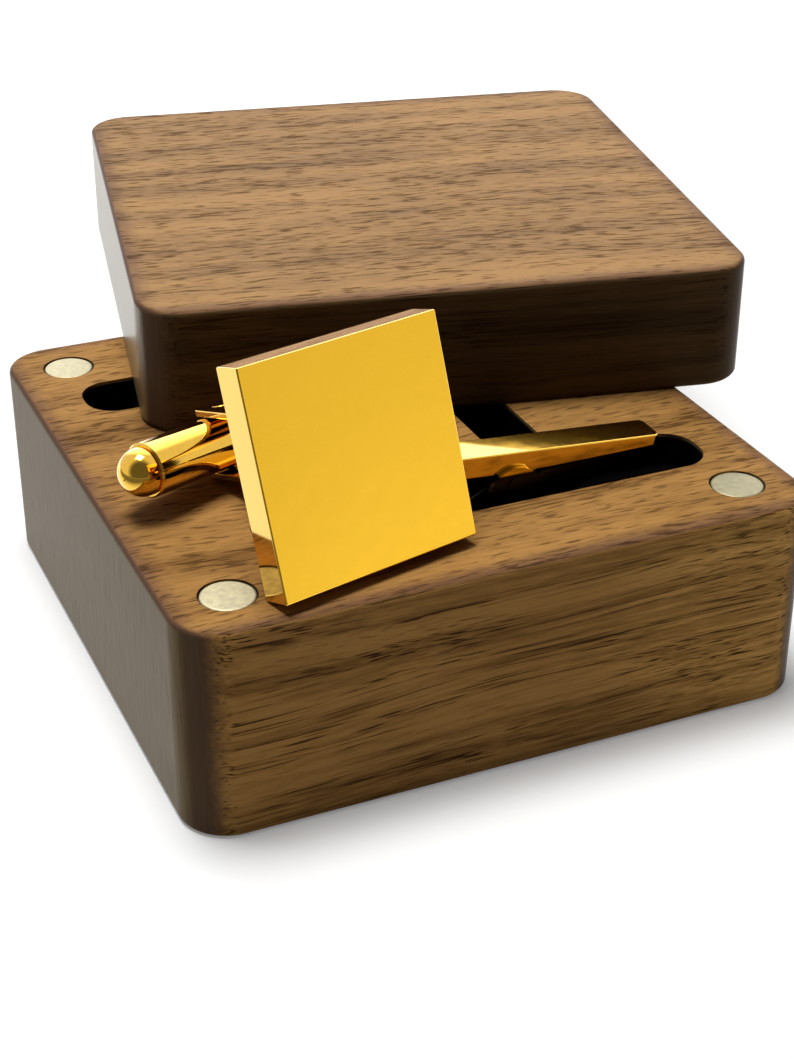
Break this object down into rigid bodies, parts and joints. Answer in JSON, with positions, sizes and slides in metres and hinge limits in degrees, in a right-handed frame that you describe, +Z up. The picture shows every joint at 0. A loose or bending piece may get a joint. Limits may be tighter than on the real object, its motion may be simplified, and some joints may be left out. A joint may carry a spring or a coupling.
{
  "type": "cufflink box",
  "caption": "Small square walnut cufflink box with a slotted recess, magnetic lift-off lid, square gold cufflink with swivel toggle and sprung gold tie clip.",
  "frame": {"origin": "middle of the base's underside", "axes": "+Z up, +Y from the front of the base to its rear, where the lid lies, +X to the right seen from the front"},
  "size_m": [0.0781, 0.0938, 0.0399],
  "materials": {
    "walnut_base": "satin oiled walnut",
    "walnut_lid": "satin oiled walnut",
    "black_lining": "black flock",
    "nickel": "nickel plated",
    "gold": "polished gold plate",
    "spring_steel": "bright spring steel"
  },
  "bodies": {
    "base": {"base": "walnut_base", "recess_lining": "black_lining", "base_magnet_front_left": "nickel", "base_magnet_front_right": "nickel", "base_magnet_rear_left": "nickel", "base_magnet_rear_right": "nickel"},
    "lid": {"lid": "walnut_lid", "lid_magnet_front_left": "nickel", "lid_magnet_front_right": "nickel", "lid_magnet_rear_left": "nickel", "lid_magnet_rear_right": "nickel"},
    "tie_clip": {"tie_clip_bar": "gold", "tie_clip_hinge_pin": "gold", "tie_clip_spring": "spring_steel"},
    "clip_jaw": {"tie_clip_jaw": "gold"},
    "cufflink": {"cufflink_plate": "gold", "cufflink_post": "gold", "cufflink_pivot_pin": "gold"},
    "toggle": {"cufflink_toggle_barrel": "gold", "cufflink_toggle_cap_left": "gold", "cufflink_toggle_cap_right": "gold", "cufflink_detent_plunger": "spring_steel", "cufflink_detent_spring": "spring_steel"}
  },
  "joints": [
    {"name": "lid_lift", "type": "slide", "parent": "base", "child": "lid", "axis": [0, 0, 1], "range_m": [0, 0.04]},
    {"name": "tie_clip_lift", "type": "slide", "parent": "base", "child": "tie_clip", "axis": [0, 0, 1], "range_m": [0, 0.03]},
    {"name": "clip_jaw_open", "type": "hinge", "parent": "tie_clip", "child": "clip_jaw", "pos_m": [0.005, -0.016, 0.02134], "axis": [-0.0349, 0.9988, 0.0349], "range_deg": [0, 11], "stiffness_Nm_per_rad": 0.02, "deforming": ["tie_clip_spring"]},
    {"name": "cufflink_lift", "type": "slide", "parent": "tie_clip", "child": "cufflink", "axis": [0, 0, 1], "range_m": [0, 0.06]},
    {"name": "toggle_swing", "type": "hinge", "parent": "cufflink", "child": "toggle", "pos_m": [-0.01714, -0.00425, 0.0239], "axis": [-0.0732, 0.3027, 0.9503], "range_deg": [-102, 0]}
  ],
  "couplings": [
    {"joint": "toggle_swing", "follows": "cufflink_lift", "rad_per_m": -29.6}
  ]
}
